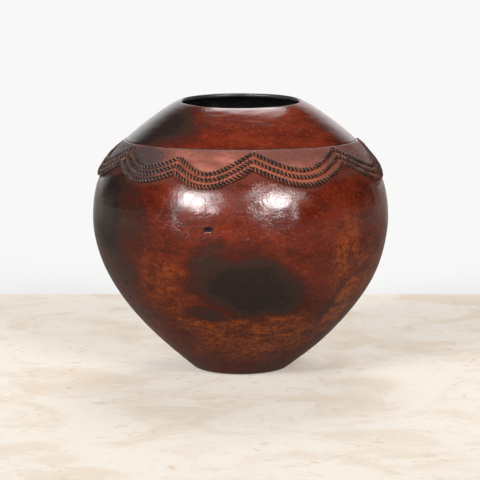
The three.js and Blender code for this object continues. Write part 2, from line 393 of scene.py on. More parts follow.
# Soft noises: grains across and down the wall, seed
SWELL = (90, 70, 1)
FACETS = (26, 7, 2)
FRAY = (38, 30, 4)
FINE_FRAY = (10, 8, 5)
WOBBLE = (24, 12, 6)

# How deep or wide they and the creases run
SWELL_RELIEF = 0.35
FACET_RELIEF = 0.16
FACET_SWAY = 5
FRAY_SHARE = 0.26
FINE_FRAY_SHARE = 0.08
CREASE_DEPTH = 0.5
CREASE_WIDTH = 0.9
WOBBLE_SHARE = 0.006
WOBBLE_RADIUS = 100
WOBBLE_ROWS = 6
RELIEF_AT_FOOT = (4, 20)

# Where the burnish ends below the hem and above the band, and how it follows facets and notches
BURNISH_LOW = (-2, 10)
BURNISH_HIGH = (0, -3)
BURNISH_FACETS = 4
HEM_SPREAD = 0.14
HEM_SAMPLES = 9
NOTCH_SHARE = 1.6
NOTCH_DEPTH = 12

# Underside and lip
UNDER_RADII = np.array([12.0, 24, 35, 41])[:, None]
HOLLOW_DEPTH = 0.5
HOLLOW_RADIUS = 20
UNDER_SOOT = 0.3
UNDER_OCHRE = 0.4
LIP_ROWS_OUTSIDE = 3

CHIP_FLAT = 0.35  # share of a chip's size that lies at its full depth
CHIP_DARK = 0.4  # a pit of this depth is dark all over

# Chips and pits: azimuth in degrees, slope, half size across and down the wall, depth
CHIPS = [
    (-12.1, 187, 7.4, 3.9, 1.2),
    (-57.3, 272, 2.0, 1.8, 0.7),
    (-61.4, 296, 1.8, 1.8, 0.7),
    (-58.7, 330, 2.0, 1.8, 0.7),
    (-66.0, 255, 1.8, 1.6, 0.6),
    (-64.0, 286, 1.6, 1.8, 0.6),
    (-53.0, 309, 1.6, 1.6, 0.6),
    (-56.0, 345, 1.8, 1.6, 0.6),
    (-46.0, 352, 1.6, 1.8, 0.6),
    (-38.0, 362, 1.8, 1.6, 0.6),
    (-49.0, 371, 1.6, 1.6, 0.6),
    (-27.0, 377, 1.8, 1.6, 0.5),
    (9.0, 384, 1.8, 1.6, 0.5),
    (38.0, 368, 1.8, 1.8, 0.6),
    (2.5, 261, 2.0, 1.6, 0.5),
    (18.0, 281, 1.8, 1.8, 0.5),
    (62.0, 232, 2.0, 1.8, 0.7),
    (66.0, 262, 1.8, 1.8, 0.6),
    (41.0, 214, 2.4, 1.8, 0.4),
    (130.0, 205, 3.0, 2.2, 0.6),
    (-142.0, 250, 2.4, 2.2, 0.6),
    (172.0, 290, 2.2, 2.0, 0.6),
]

# Patches of colour: azimuth in degrees, slope, half size across and down the wall, tilt in
# degrees, strength in the middle, and the share of the size over which the edge fades
SOOT = [
    (2, 266, 64, 40, 8, 1.0, 0.55),
    (15, 276, 42, 32, 8, 0.85, 0.55),
    (-9, 241, 40, 26, 6, 0.66, 0.6),
    (-16, 306, 24, 15, 14, 0.6, 0.6),
    (-6, 218, 84, 22, 0, 0.34, 0.8),
    (-5, 213, 50, 12, 4, 0.4, 0.7),
    (66, 215, 46, 90, 0, 0.2, 0.8),
    (-52, 176, 54, 66, 0, 0.56, 0.9),
    (-65, 178, 52, 64, 0, 1.0, 0.8),
    (-64, 240, 60, 52, 0, 0.55, 0.8),
    (-78, 305, 70, 60, 0, 0.4, 0.7),
    (-68, 48, 66, 50, 0, 1.0, 0.5),
    (-36, 40, 30, 50, 0, 0.34, 0.7),
    (45, 306, 5, 40, 4, 0.36, 0.7),
    (70, 60, 36, 60, 0, 0.3, 0.8),
    (118, 250, 62, 50, -10, 0.95, 0.5),
    (168, 165, 66, 40, 14, 0.9, 0.5),
    (-142, 250, 70, 46, -6, 1.0, 0.45),
    (-112, 340, 50, 34, 0, 0.6, 0.6),
    (80, 372, 50, 26, 0, 0.5, 0.7),
    (150, 345, 60, 32, 0, 0.55, 0.6),
]
OCHRE = [
    (-34, 268, 46, 42, 20, 0.44, 0.7),
    (14, 374, 76, 26, 0, 0.7, 0.7),
    (-24, 320, 40, 26, 14, 0.75, 0.6),
    (-8, 342, 44, 26, 0, 0.75, 0.6),
    (20, 342, 50, 42, 0, 1.0, 0.5),
    (4, 326, 36, 16, 0, 0.7, 0.6),
    (54, 300, 21, 62, 8, 1.0, 0.35),
    (46, 225, 22, 44, 10, 0.75, 0.7),
    (60, 262, 40, 50, 0, 0.6, 0.7),
    (-84, 320, 60, 50, 0, 0.6, 0.7),
    (140, 300, 60, 50, 0, 0.8, 0.6),
    (-160, 330, 70, 50, 0, 0.85, 0.6),
    (100, 190, 40, 60, 0, 0.5, 0.7),
    (-110, 230, 50, 50, 0, 0.6, 0.7),
]


def dents(azimuth, slope, radius):
    """Depth of the chips and pits."""
    depth = np.zeros_like(slope)
    for place, middle, across, down, deep in CHIPS:
        distance = np.hypot(turn_from(azimuth, place) * radius / across, (slope - middle) / down)
        depth = np.maximum(depth, deep * (1 - smoothstep(CHIP_FLAT, 1.0, distance)))
    return depth


def lip_rows(outer, inner):
    """The half round of the lip, from a row at its outer edge to one at its inner edge."""
    across = (outer - inner) / 2
    outwards = outer * [1, 1, 0] / np.linalg.norm(outer[:, :2], axis=1)[:, None]
    rise = np.sum(across * outwards, axis=1)[:, None]
    upwards = rise * [0, 0, 1] - across[:, 2:] * outwards
    turn = np.linspace(0, math.pi, LIP_STEPS + 2)[1:-1, None, None]
    return inner + across + across * np.cos(turn) + LIP_ROUNDING * upwards * np.sin(turn)


def inside_outline():
    """Radius and height of the inside, from the lip down to near the middle of the floor."""
    slope = np.arange(0, WALL_LENGTH - FOOT_LENGTH - FLOOR_SWEEP, INSIDE_STEP)
    thinning = np.maximum(0, 1 - slope / LIP_TAPER)
    thickness = WALL_THICKNESS + (LIP_THICKNESS - WALL_THICKNESS) * thinning
    wall = np.stack(profile(slope, -thickness), axis=1)
    heading = wall[-1] - wall[-2]
    corner = wall[-1] + heading * (FLOOR_THICKNESS - wall[-1][1]) / heading[1]
    t = np.linspace(0, 1, SWEEP_POINTS)[1:-1, None]
    middle = np.array([0.0, FLOOR_THICKNESS])
    sweep = (1 - t) ** 2 * wall[-1] + 2 * (1 - t) * t * corner + t**2 * middle
    return np.concatenate([wall, sweep])


def wall_rows():
    """Slope distances of the wall's rows of points, closer where the band's top edge runs."""
    near = BAND_FROM_LIP - BAND_RISE - LEDGE_MARGIN
    far = BAND_FROM_LIP + BAND_RISE + LEDGE_MARGIN
    return np.concatenate([
        np.linspace(0, near, int(near / WALL_STEP)),
        np.arange(near + LEDGE_STEP, far, LEDGE_STEP),
        np.linspace(far, WALL_LENGTH, int((WALL_LENGTH - far) / WALL_STEP)),
    ])


def inside_rows(around):
    rows = inside_outline()
    azimuth, height = np.meshgrid(around, rows[:, 1])
    wobble = noise_field(azimuth, height, WOBBLE_RADIUS, *WOBBLE)
    settled = smoothstep(0, WOBBLE_ROWS, np.arange(len(rows)))[:, None]
    return in_space(azimuth, rows[:, :1] * (1 + WOBBLE_SHARE * wobble * settled), height)


def burnished_share(azimuth, depth, facets):
    """How burnished the wall is: not from the band's top edge down to an evened-out hem."""
    hem = depth_of(HEM_LINES, azimuth)
    near_hem = np.mean([depth_of(HEM_LINES, azimuth + turn)
                        for turn in np.linspace(-HEM_SPREAD, HEM_SPREAD, HEM_SAMPLES)], axis=0)
    notch = np.clip(near_hem - hem, 0, NOTCH_DEPTH)
    below = depth - hem + BURNISH_FACETS * facets - NOTCH_SHARE * notch
    return np.maximum(smoothstep(*BURNISH_LOW, below), smoothstep(*BURNISH_HIGH, depth))


def pot_wall(burnished_clay, smoked_clay):
    around = steps_round(WALL_COLUMNS)
    azimuth, slope = np.meshgrid(around, wall_rows())
    radius = profile(slope)[0]
    depth = slope - band_top(azimuth)

    swell = noise_field(azimuth, slope, radius, *SWELL)
    facets = noise_field(azimuth, slope + FACET_SWAY * swell, radius, *FACETS)
    ragged = FRAY_SHARE * noise_field(azimuth, slope, radius, *FRAY)
    ragged += FINE_FRAY_SHARE * noise_field(azimuth, slope, radius, *FINE_FRAY)
    from_right = np.abs(np.degrees(turn_from(azimuth, RIGHT_AZIMUTH)))
    fuller = RIGHT_FULLNESS * smoothstep(RIGHT_SPREAD, 0, from_right)
    fuller *= smoothstep(*RIGHT_RISE, slope) * smoothstep(*RIGHT_FALL, slope)
    burnish = burnished_share(azimuth, depth, facets)
    foot_start, foot_end = RELIEF_AT_FOOT
    standing = smoothstep(WALL_LENGTH - foot_start, WALL_LENGTH - FOOT_LENGTH - foot_end, slope)
    crease = np.exp(-(((depth + CREASE_WIDTH) / CREASE_WIDTH) ** 2))
    pits = dents(azimuth, slope, radius)
    lift = (-SWELL_RELIEF + SWELL_RELIEF * swell + FACET_RELIEF * burnish * facets) * standing
    lift = np.minimum(lift, 0) + fuller - pits - CREASE_DEPTH * crease
    outer = on_wall(azimuth, slope, lift)

    inner = inside_rows(around)
    inner = np.concatenate([lip_rows(outer[0], inner[0]), inner])
    hollow = HOLLOW_DEPTH * smoothstep(FOOT_FLAT_RADIUS, HOLLOW_RADIUS, UNDER_RADII)
    under = in_space(around, UNDER_RADII, hollow)

    rows = tilt_mouth(np.concatenate([under, outer[::-1], inner]))
    count = len(rows) * WALL_COLUMNS
    hubs = np.array([[0, 0, HOLLOW_DEPTH], [0, 0, FLOOR_THICKNESS]])
    points = np.concatenate([rows.reshape(-1, 3), hubs])
    quads = grid_faces(len(rows), WALL_COLUMNS)
    triangles = end_fans(count, WALL_COLUMNS)

    def whole(field, under_value=0, inner_value=0):
        """A field over the underside, the outer wall, the inside and the two hubs."""
        parts = [np.full(under.shape[:2], under_value), field[::-1],
                 np.full(inner.shape[:2], inner_value)]
        return np.concatenate([p.ravel() for p in parts] + [[under_value, inner_value]])

    place = np.stack([whole(np.sin(azimuth) * radius), whole(-np.cos(azimuth) * radius),
                      whole(slope, WALL_LENGTH)], axis=1)
    fields = {
        "soot": whole(patches(azimuth, slope, radius, SOOT, ragged), UNDER_SOOT, 1),
        "ochre": whole(patches(azimuth, slope, radius, OCHRE, ragged), UNDER_OCHRE),
        "pit": whole(np.clip(pits / CHIP_DARK, 0, 1)),
        "crease": whole(crease),
        "burnish": whole(burnish, 0, 1),
        "place": place * MM,
    }
    pot = mesh_object("pot_wall", points, quads, triangles, [burnished_clay, smoked_clay], fields)
    outside_faces = (len(under) + len(outer) + LIP_ROWS_OUTSIDE) * WALL_COLUMNS
    index = np.zeros(len(pot.data.polygons), np.int32)
    index[outside_faces:len(quads)] = 1
    index[len(quads) + WALL_COLUMNS:] = 1
    pot.data.polygons.foreach_set("material_index", index)
    return pot


# The band of clay that carries the ropes

# Soft noises: grains across and down the wall, seed
BAND_WAVER = (16, 1, 7)
BAND_SWELL = (16, 9, 8)
BAND_GRAIN = (5, 1.6, 9)
BAND_FRAY = (30, 20, 10)

WAVER_REACH = 0.35
BAND_SWELL_RELIEF = 0.3
BAND_GRAIN_RELIEF = 0.06
BAND_FRAY_SHARE = 0.35
SPOT_FRAY_SHARE = 0.6

# Rows of points: depths along the ledge, and distances up from the hem
LEDGE_ROWS = np.array([-0.5, 0.0, 0.25, 0.5, 0.8, 1.2, 1.7, 2.4])
HEM_ROWS = np.array([2.6, 1.9, 1.3, 0.8, 0.4, 0.0])
# Painted sheen on the band's upward-facing top edge: the depths over which it fades in, and how
# unevenly it runs
LEDGE_SHEEN_FADE = (3.4, 0.6)
LEDGE_UNEVEN = 1.2
BETWEEN_ROPES = (-1, 3)

BAND_SOOT = [
    (-52, 112, 60, 34, 0, 1.0, 0.5),
    (-76, 108, 54, 50, 0, 1.0, 0.5),
    (-96, 112, 70, 34, 0, 0.8, 0.6),
    (-14, 84, 60, 9, 0, 0.5, 0.9),
    (26, 92, 60, 14, 0, 0.62, 0.9),
    (46, 100, 34, 18, 0, 0.6, 0.9),
    (66, 106, 40, 28, 0, 0.8, 0.9),
    (82, 112, 36, 50, 0, 0.8, 0.7),
    (118, 110, 60, 30, 0, 0.6, 0.8),
    (172, 108, 60, 34, 0, 0.85, 0.6),
    (-140, 108, 50, 30, 0, 0.6, 0.8),
]
BAND_SPOTS = [
    (-60.5, 100, 4, 6, 20, 1.0, 0.7),
    (-64.5, 108, 3, 9, 10, 0.7, 0.7),
]


def band_skin(clay):
    around = steps_round(BAND_COLUMNS)
    hem = depth_of(HEM_LINES, around)
    top_rope = depth_of(ROPE_LINES[0], around)
    middle = np.linspace(0, 1, BAND_ROWS)[1:-1]
    depth = np.concatenate([
        np.repeat(LEDGE_ROWS[:, None], BAND_COLUMNS, axis=1),
        LEDGE_ROWS[-1] + (hem - HEM_ROWS[0] - LEDGE_ROWS[-1])[None, :] * middle[:, None],
        hem[None, :] - HEM_ROWS[:, None],
    ])
    azimuth = np.broadcast_to(around, depth.shape)
    waver = WAVER_REACH * noise_field(azimuth, 0 * depth, BELLY_RADIUS, *BAND_WAVER)
    slope = band_top(azimuth) + depth + waver
    radius = profile(slope)[0]
    uneven = noise_field(azimuth, slope, radius, *BAND_SWELL)
    grain = noise_field(azimuth, slope, radius, *BAND_GRAIN)
    thick = BAND_LIFT + BAND_SWELL_RELIEF * uneven + BAND_GRAIN_RELIEF * grain
    share = smoothstep(LEDGE_ROWS[0], LEDGE_WIDTH, depth) * smoothstep(0, HEM_WIDTH, hem - depth)
    face = on_wall(azimuth, slope, -BAND_ROOT + (thick + BAND_ROOT) * share)
    back_rows = [-1, len(depth) // 2, 0]
    back = on_wall(azimuth[back_rows], slope[back_rows], -BAND_BACK)
    rows = np.concatenate([face, back])
    ragged = BAND_FRAY_SHARE * noise_field(azimuth, slope, radius, *BAND_FRAY)

    def whole(field):
        """A field over the face, and nothing on the back."""
        return np.concatenate([field, np.zeros(back.shape[:2])]).ravel()

    place = np.stack([whole(np.sin(azimuth) * radius), whole(-np.cos(azimuth) * radius),
                      whole(slope)], axis=1)
    spots = patches(azimuth, slope, radius, BAND_SPOTS, SPOT_FRAY_SHARE * ragged)
    fields = {
        "soot": whole(patches(azimuth, slope, radius, BAND_SOOT, ragged)),
        # ledge carries the painted sheen of the band's top edge
        "ledge": whole(smoothstep(*LEDGE_SHEEN_FADE, depth + LEDGE_UNEVEN * uneven)),
        "spot": whole(spots),
        "between": whole(smoothstep(*BETWEEN_ROPES, depth - top_rope)),
        "place": place * MM,
    }
    quads = grid_faces(len(rows), BAND_COLUMNS, closed_rows=True)
    return mesh_object("band_skin", rows.reshape(-1, 3), quads[:, ::-1], np.empty((0, 3), int),
                       [clay], fields)


# The twisted ropes

# How a rope varies along its length: by how much, over what length, and an addition to its seed
LIFT_WANDER = (0.25, 14, 0)
PITCH_WANDER = (0.14, 22, 0.5)
SIZE_WANDER = (0.1, 9, 0.25)
FLAT_WANDER = (5, 5, 0.75)  # turns the side on which the rope is thinner
FLAT_SHARE = 0.05


def rope_stations(line):
    """Azimuth and depth at even steps along a rope's line, run a little past both ends."""
    places = on_wall(line[:, 0], band_top(line[:, 0]) + line[:, 1], ROPE_LIFT)
    along = np.concatenate([[0], np.cumsum(np.linalg.norm(np.diff(places, axis=0), axis=1))])
    start = line[0] + (line[0] - line[1]) * ROPE_OVERRUN / (along[1] - along[0])
    end = line[-1] + (line[-1] - line[-2]) * ROPE_OVERRUN / (along[-1] - along[-2])
    line = np.vstack([start, line, end])
    along = np.concatenate([[0], along + ROPE_OVERRUN, [along[-1] + 2 * ROPE_OVERRUN]])
    steps = int(along[-1] / ROPE_STEP)
    wanted = np.linspace(0, along[-1], steps + 1)
    return np.stack([np.interp(wanted, along, line[:, i]) for i in (0, 1)], axis=1), wanted


def wander(along, seed, amount, length, extra):
    row = (seed + extra) * ROPE_SEED_STEP
    return amount * np.array([noise.noise((a / length, row, 0.0)) for a in along])


def unit(vectors):
    return vectors / np.linalg.norm(vectors, axis=1)[:, None]


def twisted_rope(name, line, clay, seed):
    stations, along = rope_stations(line)
    slope = band_top(stations[:, 0]) + stations[:, 1]
    lift = ROPE_LIFT + wander(along, seed, *LIFT_WANDER)
    centre = on_wall(stations[:, 0], slope, lift)
    normal = on_wall(stations[:, 0], slope, lift + 1) - centre
    tangent = unit(np.gradient(centre, axis=0))
    side = unit(np.cross(tangent, normal))
    up = np.cross(side, tangent)

    pitch = STRAND_PITCH * (1 + wander(along, seed, *PITCH_WANDER))
    twist = -np.cumsum(math.pi * ROPE_STEP / pitch) + seed
    strand = STRAND_SHARE * ROPE_WIDTH
    offset = ROPE_WIDTH / 2 - strand
    alpha = steps_round(ROPE_SIDES)
    bulge = offset * np.abs(np.cos(alpha)) + np.sqrt(strand**2 - (offset * np.sin(alpha)) ** 2)
    ending = np.minimum(along, along[-1] - along)
    size = (1 + wander(along, seed, *SIZE_WANDER)) * np.sqrt(smoothstep(*ROPE_TIP, ending))
    flat_side = alpha[None, :] + wander(along, seed, *FLAT_WANDER)[:, None]
    out = bulge[None, :] * size[:, None] * (1 + FLAT_SHARE * np.sin(flat_side))
    turn = alpha[None, :] + twist[:, None]
    across, rise = np.cos(turn) * out, np.sin(turn) * out * ROPE_HEIGHT / ROPE_WIDTH
    rings = centre[:, None] + side[:, None] * across[..., None] + up[:, None] * rise[..., None]

    shape = rings.shape[:2]
    crest = (bulge - bulge.min()) / (bulge.max() - bulge.min())
    height = np.clip(rise / (ROPE_HEIGHT / 2), -1, 1)
    azimuth = np.broadcast_to(stations[:, :1], shape)
    sooty = patches(azimuth, np.broadcast_to(slope[:, None], shape), ROPE_RADIUS, BAND_SOOT, 0)
    fields = {"crest": np.broadcast_to(crest, shape), "height": height, "soot": sooty}
    fields = {field: np.append(values.ravel(), [0, 0]) for field, values in fields.items()}
    points = np.concatenate([rings.reshape(-1, 3), centre[[0, -1]]])
    quads = grid_faces(len(rings), ROPE_SIDES)
    triangles = end_fans(len(rings) * ROPE_SIDES, ROPE_SIDES)
    return mesh_object(name, points, quads[:, ::-1], triangles[:, ::-1], [clay], fields)


# Materials. Colours are linear red, green and blue.

class Nodes:
    """Builds a tree of shader nodes, node by node."""

    def __init__(self, tree):
        self.tree = tree

    def node(self, kind, inputs, **settings):
        node = self.tree.nodes.new("ShaderNode" + kind)
        for setting, value in settings.items():
            setattr(node, setting, value)
        for socket, value in inputs.items():
            self.feed(node.inputs[socket], value)
        return node

    def feed(self, socket, value):
        if isinstance(value, bpy.types.NodeSocket):
            self.tree.links.new(value, socket)
        elif isinstance(value, tuple) and socket.type == "RGBA":
            socket.default_value = (*value, 1)
        else:
            socket.default_value = value

    def maths(self, operation, a, b=0.0):
        return self.node("Math", {0: a, 1: b}, operation=operation).outputs[0]

    def product(self, first, *others):
        for other in others:
            first = self.maths("MULTIPLY", first, other)
        return first

    def fade(self, value, low, high, start=0.0, end=1.0):
        inputs = {"Value": value, "From Min": low, "From Max": high, "To Min": start, "To Max": end}
        node = self.node("MapRange", inputs, interpolation_type="SMOOTHSTEP")
        return node.outputs["Result"]


class Finish(Nodes):
    """A procedural material."""

    SWAY_LENGTH = 45

    def __init__(self, name):
        self.material = bpy.data.materials.new(name)
        self.material.use_nodes = True
        super().__init__(self.material.node_tree)
        self.shader = self.tree.nodes["Principled BSDF"]

    def field(self, name, output="Fac"):
        return self.node("Attribute", {}, attribute_name=name).outputs[output]

    def scaled(self, vector, factors):
        return self.node("VectorMath", {0: vector, 1: factors}, operation="MULTIPLY").outputs[0]

    def place(self, across, down, sway=0.0):
        """Coordinates over the wall for grains of the given sizes in millimetres. Sway bends
        their rows up and down by about as many millimetres."""
        place = self.field("place", "Vector")
        if sway:
            slow = self.scaled(place, (1 / (self.SWAY_LENGTH * MM),) * 3)
            rise = self.product(self.noise(slow, 1), sway * MM)
            bent = self.node("CombineXYZ", {"Z": rise}).outputs[0]
            place = self.node("VectorMath", {0: place, 1: bent}, operation="ADD").outputs[0]
        return self.scaled(place, (1 / (across * MM), 1 / (across * MM), 1 / (down * MM)))

    def down(self):
        """Distance down the wall from the lip, in metres."""
        return self.node("SeparateXYZ", {0: self.field("place", "Vector")}).outputs["Z"]

    def solid(self, size):
        """Coordinates in space for grains of the given size in millimetres."""
        where = self.node("TexCoord", {}).outputs["Object"]
        return self.scaled(where, (1 / (size * MM),) * 3)

    def noise(self, vector, detail=2.0, roughness=0.5, bend=0.0):
        node = self.node("TexNoise", {"Vector": vector, "Scale": 1.0, "Detail": detail,
                                      "Roughness": roughness, "Distortion": bend})
        return node.outputs["Fac"]

    def blend(self, share, a, b):
        node = self.node("Mix", {}, data_type="RGBA")
        for socket, value in ((0, share), (6, a), (7, b)):
            self.feed(node.inputs[socket], value)
        return node.outputs[2]

    def tint(self, colour, tone, value, low, high, most=1.0):
        """A colour turned towards a tone, most where the value has passed from low to high."""
        return self.blend(self.fade(value, low, high, 0, most), colour, tone)

    def bump(self, height, distance, after=None):
        inputs = {"Height": height, "Distance": distance * MM, "Strength": 1.0}
        node = self.node("Bump", inputs)
        if after:
            self.feed(node.inputs["Normal"], after)
        return node.outputs["Normal"]

    def finish(self, colour, roughness, normal, **others):
        self.feed(self.shader.inputs["Base Color"], colour)
        self.feed(self.shader.inputs["Roughness"], roughness)
        self.feed(self.shader.inputs["Normal"], normal)
        for socket, value in others.items():
            self.feed(self.shader.inputs[socket.replace("_", " ")], value)
        return self.material


# Burnished clay. The first three are stretches of wall, in metres down from the lip.
SHOULDER_END = (0.08, 0.13)
BELLY_END = (0.165, 0.22)
LOW_WALL = (0.19, 0.34)
SHOULDER_STROKES = 0.3
SHOULDER_GLOSS = 0.48
BELLY_GLOSS = 0.68
LOW_GLOSS = 0.27
MATT_GLOSS = 0.25
STROKE_DEPTH = 0.24
SCORE_DEPTH = 0.13
GRAIN_DEPTH = 0.06
FLECK_DEPTH = 0.08
COAT_ROUGHNESS = 0.12
COAT_IOR = 1.8

DEEP_RED = (0.080, 0.0062, 0.0012)
RED = (0.138, 0.0150, 0.0034)
LIGHT_RED = (0.20, 0.029, 0.006)
STAIN = (0.050, 0.0055, 0.002)
STREAK = (0.036, 0.005, 0.002)
LOW_RED = (0.038, 0.0060, 0.0018)
OCHRE_CLAY = (0.31, 0.067, 0.007)
UNBURNISHED = (0.105, 0.040, 0.034)
PALE_FLECK = (0.33, 0.14, 0.09)
ORANGE_GRAIN = (0.27, 0.058, 0.014)
DARK_GRAIN = (0.012, 0.0035, 0.0022)
PIT_SHADE = (0.010, 0.011, 0.015)
CREASE_SHADE = (0.02, 0.008, 0.006)

# Stages of soot: where each begins and is full, how far it covers, and its colour
SMOKE = [
    (0.06, 0.42, 0.85, (0.038, 0.0065, 0.003)),
    (0.28, 0.68, 1.0, (0.031, 0.0130, 0.0090)),
    (0.6, 0.98, 1.0, (0.0150, 0.0085, 0.0066)),
]


def burnished_clay():
    clay = Finish("burnished_clay")
    broad = clay.noise(clay.place(60, 40), 3, 0.55)
    stains = clay.noise(clay.place(30, 15, 20), 5, 0.62, 0.3)
    streaks = clay.noise(clay.place(26, 3.4, 40), 4, 0.62, 0.4)
    mottle = clay.noise(clay.place(7, 6.2), 5, 0.7)
    grains = clay.noise(clay.place(2.2, 1.9), 3, 0.65)
    flecks = clay.noise(clay.place(4.5, 1.4, 40), 3, 0.7, 1.2)

    colour = clay.tint(DEEP_RED, RED, broad, 0.3, 0.7)
    colour = clay.tint(colour, LIGHT_RED, mottle, 0.48, 0.70, 0.6)
    colour = clay.tint(colour, STAIN, stains, 0.47, 0.7, 0.6)
    colour = clay.tint(colour, STREAK, streaks, 0.48, 0.7, 0.4)
    colour = clay.tint(colour, LOW_RED, clay.down(), *LOW_WALL, 0.58)
    ochre = clay.product(clay.field("ochre"), clay.fade(stains, 0.62, 0.40, 0.25, 1),
                         clay.fade(mottle, 0.38, 0.58, 0.15, 1),
                         clay.fade(grains, 0.36, 0.56, 0.5, 1))
    colour = clay.blend(ochre, colour, OCHRE_CLAY)
    soot = clay.maths("ADD", clay.field("soot"), clay.fade(mottle, 0.3, 0.7, -0.07, 0.07))
    soot = clay.maths("ADD", soot, clay.fade(stains, 0.35, 0.65, -0.08, 0.08))
    for start, full, most, tone in SMOKE:
        colour = clay.tint(colour, tone, soot, start, full, most)

    matt = clay.fade(clay.field("burnish"), 1.0, 0.2)
    colour = clay.blend(clay.product(matt, 0.5), colour, UNBURNISHED)
    clean = clay.fade(clay.field("soot"), 0.1, 0.7, 1, 0.12)
    fleck = clay.product(clay.fade(flecks, 0.63, 0.70, 0, 0.7), clean)
    colour = clay.blend(fleck, colour, PALE_FLECK)
    bright = clay.product(clay.fade(grains, 0.62, 0.76, 0, 0.6), clean)
    colour = clay.blend(bright, colour, ORANGE_GRAIN)
    colour = clay.tint(colour, DARK_GRAIN, grains, 0.46, 0.28, 0.8)
    colour = clay.blend(clay.field("pit"), colour, PIT_SHADE)
    colour = clay.blend(clay.product(clay.field("crease"), 0.8), colour, CREASE_SHADE)

    strokes = clay.noise(clay.place(12, 2.3, 60), 3, 0.62, 0.6)
    scores = clay.noise(clay.place(6.5, 1.5, 90), 2, 0.6, 1.0)
    worked = clay.fade(clay.down(), *SHOULDER_END, SHOULDER_STROKES, 1)
    normal = clay.bump(clay.product(strokes, worked), STROKE_DEPTH)
    normal = clay.bump(clay.product(scores, worked), SCORE_DEPTH, normal)
    normal = clay.bump(grains, GRAIN_DEPTH, normal)
    normal = clay.bump(flecks, FLECK_DEPTH, normal)
    gloss = clay.product(clay.fade(matt, 0, 1, 1, MATT_GLOSS),
                         clay.fade(clay.field("pit"), 0, 0.6, 1, 0),
                         clay.fade(clay.down(), *SHOULDER_END, SHOULDER_GLOSS, BELLY_GLOSS),
                         clay.fade(clay.down(), *BELLY_END, 1, LOW_GLOSS))
    rough = clay.maths("ADD", clay.fade(streaks, 0.3, 0.7, 0.5, 0.62), clay.product(matt, 0.2))
    return clay.finish(colour, rough, normal, Coat_Weight=gloss, Coat_Normal=normal,
                       Specular_IOR_Level=0.0, Coat_Roughness=COAT_ROUGHNESS, Coat_IOR=COAT_IOR)


# Smoked clay of the inside
SMOKED_DARK = (0.022, 0.020, 0.021)
SMOKED_LIGHT = (0.05, 0.046, 0.047)
SMOKED_SWELL_DEPTH = 2.0
SMOKED_GRAIN_DEPTH = 0.5
SMOKED_IOR = 1.5


def smoked_clay():
    clay = Finish("smoked_clay")
    broad = clay.noise(clay.solid(22), 3, 0.6)
    grains = clay.noise(clay.solid(4), 4, 0.65)
    colour = clay.tint(SMOKED_DARK, SMOKED_LIGHT, broad, 0.35, 0.7)
    rough = clay.fade(grains, 0.3, 0.7, 0.2, 0.42)
    normal = clay.bump(broad, SMOKED_SWELL_DEPTH)
    normal = clay.bump(grains, SMOKED_GRAIN_DEPTH, normal)
    return clay.finish(colour, rough, normal, IOR=SMOKED_IOR)


# Matt clay of the band
MATT_RED = (0.160, 0.040, 0.025)
MATT_LIGHT_RED = (0.315, 0.101, 0.066)
MATT_MOTTLE = (0.115, 0.038, 0.028)
MATT_BROWN = (0.120, 0.033, 0.022)
MATT_SOOT = (0.040, 0.025, 0.025)
# Painted sheen: the grey-blue of the band's top edge where it catches the light
LEDGE_SHEEN_GREY = (0.085, 0.062, 0.070)
FRESH_CLAY = (0.33, 0.072, 0.029)
BARE_SPOT = (0.55, 0.21, 0.05)
MATT_GRAIN = (0.07, 0.025, 0.02)
MATT_MOTTLE_DEPTH = 0.25
MATT_GRAIN_DEPTH = 0.12
CLAY_IOR = 1.4


def matt_clay():
    clay = Finish("matt_clay")
    broad = clay.noise(clay.place(30, 12), 3, 0.6)
    mottle = clay.noise(clay.place(7, 4), 4, 0.65)
    grains = clay.noise(clay.place(1.8, 1.2), 3, 0.6)
    colour = clay.tint(MATT_RED, MATT_LIGHT_RED, broad, 0.3, 0.7)
    colour = clay.tint(colour, MATT_MOTTLE, mottle, 0.5, 0.72, 0.7)
    soot = clay.maths("ADD", clay.field("soot"), clay.fade(mottle, 0.3, 0.7, -0.12, 0.12))
    colour = clay.tint(colour, MATT_BROWN, soot, 0.05, 0.6, 0.85)
    colour = clay.tint(colour, MATT_SOOT, soot, 0.5, 1.0, 0.95)
    # Painted sheen: the band's upward-facing top edge turned grey-blue, broken up by the mottle
    sheen_and_wear = clay.product(clay.field("ledge"), clay.fade(mottle, 0.35, 0.6, 0.15, 0.7))
    colour = clay.blend(sheen_and_wear, colour, LEDGE_SHEEN_GREY)
    fresh = clay.product(clay.field("between"), clay.fade(soot, 0.1, 0.8, 0.65, 0.05),
                         clay.fade(grains, 0.35, 0.6, 0.5, 1))
    colour = clay.blend(fresh, colour, FRESH_CLAY)
    colour = clay.blend(clay.field("spot"), colour, BARE_SPOT)
    colour = clay.tint(colour, MATT_GRAIN, grains, 0.6, 0.8, 0.5)
    rough = clay.fade(mottle, 0.3, 0.7, 0.5, 0.66)
    rough = clay.maths("SUBTRACT", rough, clay.product(clay.field("ledge"), 0.16))
    normal = clay.bump(mottle, MATT_MOTTLE_DEPTH)
    normal = clay.bump(grains, MATT_GRAIN_DEPTH, normal)
    return clay.finish(colour, rough, normal, IOR=CLAY_IOR)


# Clay of the ropes
ROPE_DARK = (0.014, 0.0055, 0.0046)
ROPE_BROWN = (0.038, 0.012, 0.0078)
ROPE_FLANK = (0.18, 0.036, 0.013)
# Strand crests: partly wear, partly a painted highlight where they catch the lamps; on sooty rope the
# crest is a painted grey glint
WORN_LIT_SOOTY = (0.085, 0.052, 0.045)
WORN_LIT_BARE = (0.21, 0.054, 0.024)
# Painted shade of the gaps between the strands
STRAND_GAP_SHADE = (0.0012, 0.0007, 0.0006)
ROPE_GRAIN = (0.010, 0.005, 0.004)
ROPE_GRAIN_DEPTH = 0.14


